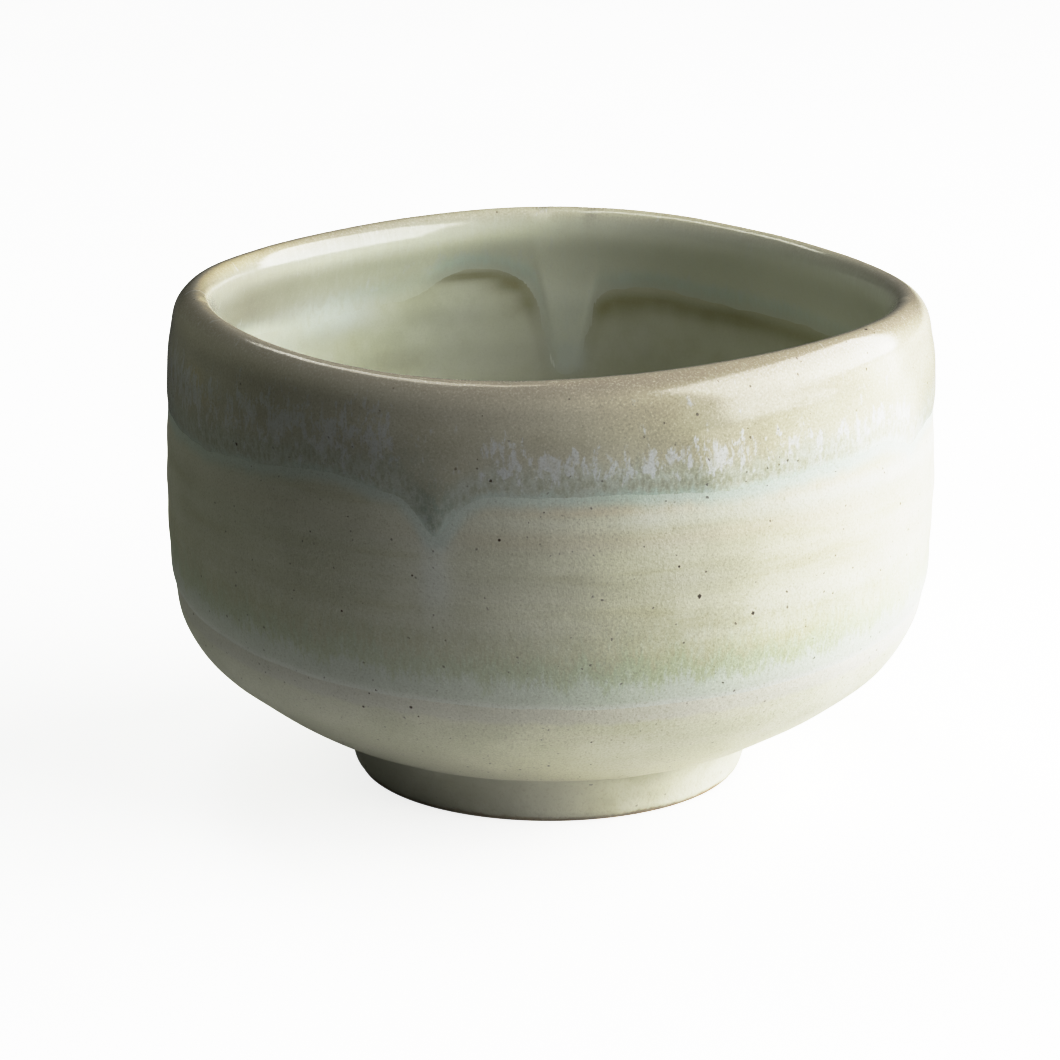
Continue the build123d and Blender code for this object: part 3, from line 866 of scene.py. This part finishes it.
def area_light(name, azimuth, elevation, away, width, height, watts, colour, mirrored=True):
    """Soft light that faces the bowl from an azimuth and elevation, away metres off. It is kept out
    of reflections if it isn't mirrored."""
    turn, rise = radians(azimuth), radians(elevation)
    towards = Vector((np.cos(turn) * np.cos(rise), np.sin(turn) * np.cos(rise), np.sin(rise)))
    light = bpy.data.lights.new(name, "AREA")
    light.shape = "RECTANGLE"
    light.size, light.size_y, light.energy, light.color = width, height, watts, colour
    lamp = bpy.data.objects.new(name, light)
    lamp.location = LIGHT_TARGET + towards * away
    lamp.rotation_euler = (-towards).to_track_quat("-Z", "Y").to_euler()
    lamp.visible_glossy = mirrored
    bpy.context.scene.collection.objects.link(lamp)


def pale_floor():
    """Floor that the camera sees plain and bright. Away from the bowl and at the left of the foot it
    bounces little light, and its mirror image in the glaze is brighter on the window side."""
    shape = bmesh.new()
    corners = ((-1, -1), (1, -1), (1, 1), (-1, 1))
    shape.faces.new([shape.verts.new((x * FLOOR_HALF, y * FLOOR_HALF, 0)) for x, y in corners])
    mesh = bpy.data.meshes.new("floor")
    shape.to_mesh(mesh)
    shape.free()
    floor = bpy.data.objects.new("floor", mesh)
    bpy.context.scene.collection.objects.link(floor)
    shade = Shade("pale_floor", specular=0.1)
    tone = shade.noise(shade.point, 90, 3)
    colour = shade.mix(shade.step(tone, 0.3, 0.7), (0.86, 0.86, 0.85, 1), (0.90, 0.90, 0.895, 1))
    flat = shade.vector("MULTIPLY", shade.point, (1, 1, 0))
    reach = shade.vector("DISTANCE", flat, BOUNCE_CENTRE)
    side = shade.vector("DOT_PRODUCT", shade.point, WINDOW_SIDE)
    front = shade.vector("DOT_PRODUCT", shade.point, WINDOW_FRONT)
    back = shade.vector("DOT_PRODUCT", shade.point, WINDOW_BACK)
    beside_foot = shade.step(shade.vector("LENGTH", flat), 56, 36)
    beside_foot = shade.times(beside_foot, shade.step(side, -4, -28))
    seen = shade.node("LightPath").outputs["Is Camera Ray"]
    unlit = shade.math("MAXIMUM", shade.step(reach, 65, 150), beside_foot)
    unlit = shade.times(unlit, shade.math("SUBTRACT", 1.0, seen))
    colour = shade.tint(unlit, colour, (0.05, 0.05, 0.05))
    glow = shade.plus(shade.step(front, -70, 70, 0, 0.75), shade.step(side, -40, 40, 0, 0.17))
    glow = shade.times(glow, shade.step(back, -6, 10, 0, 3.4))
    glow = shade.times(shade.node("LightPath").outputs["Is Glossy Ray"], glow)
    glow = shade.times(glow, shade.step(reach, 80, 150))
    strength = shade.math("MULTIPLY_ADD", seen, 0.7, glow)
    shade.tree.links.new(strength, shade.shader.inputs["Emission Strength"])
    shine = shade.mix(seen, (1.0, 0.97, 0.84, 1), (1, 1, 1, 1))
    shade.tree.links.new(shine, shade.shader.inputs["Emission Color"])
    mesh.materials.append(shade.finish(colour, tone, 0.01, shade.step(tone, 0.3, 0.7, 0.85, 0.95)))


def soft_world():
    """Dim pale light from all round; the camera sees plain white beyond the floor."""
    world = bpy.data.worlds.new("soft_room")
    world.use_nodes = True
    nodes, links = world.node_tree.nodes, world.node_tree.links
    nodes["Background"].inputs["Color"].default_value = (0.86, 0.88, 0.74, 1)
    nodes["Background"].inputs["Strength"].default_value = 0.04
    seen = nodes.new("ShaderNodeBackground")
    seen.inputs["Color"].default_value = (1, 1, 1, 1)
    path, choice = nodes.new("ShaderNodeLightPath"), nodes.new("ShaderNodeMixShader")
    links.new(path.outputs["Is Camera Ray"], choice.inputs[0])
    links.new(nodes["Background"].outputs[0], choice.inputs[1])
    links.new(seen.outputs[0], choice.inputs[2])
    links.new(choice.outputs[0], nodes["World Output"].inputs[0])
    bpy.context.scene.world = world


def set_camera():
    """Camera at the photograph's viewing angle: in front, about 16 degrees up, with a long lens."""
    camera = bpy.data.objects.new("camera", bpy.data.cameras.new("camera"))
    camera.location = CAMERA_PLACE
    camera.rotation_euler = (CAMERA_AIM - CAMERA_PLACE).to_track_quat("-Z", "Y").to_euler()
    camera.data.lens, camera.data.sensor_width = CAMERA_LENS, 36
    camera.data.clip_start = 0.01
    bpy.context.scene.collection.objects.link(camera)
    bpy.context.scene.camera = camera


def photographic_contrast():
    """A gentle S-shaped tone curve, as a camera has: deeper darks and a soft shoulder."""
    settings = bpy.context.scene.view_settings
    settings.view_transform = "Standard"
    settings.use_curve_mapping = True
    mapping = settings.curve_mapping
    mapping.clip_max_x = TONE_END[0]
    tone = mapping.curves[3]              # the curve that acts on all colours together
    tone.points[0].location = (0, 0)
    tone.points[1].location = TONE_END
    for light, shown in TONE_POINTS:
        tone.points.new(light, shown)
    mapping.update()


pale_floor()
soft_world()
set_camera()
# Azimuth and elevation in degrees, distance, width and height in metres, watts, colour.
area_light("window", -5, 28, 1.0, 1.52, 0.95, 23.3, (0.995, 0.99, 1.0))
area_light("back", 118, 60, 1.2, 0.29, 0.87, 3.0, (0.97, 0.99, 1.0))
area_light("left", 158, 36, 1.3, 1.10, 0.60, 3.2, (0.95, 1.0, 0.80), mirrored=False)
area_light("top", -90, 80, 1.2, 0.80, 0.60, 0.5, (0.99, 1.0, 1.0))
photographic_contrast()
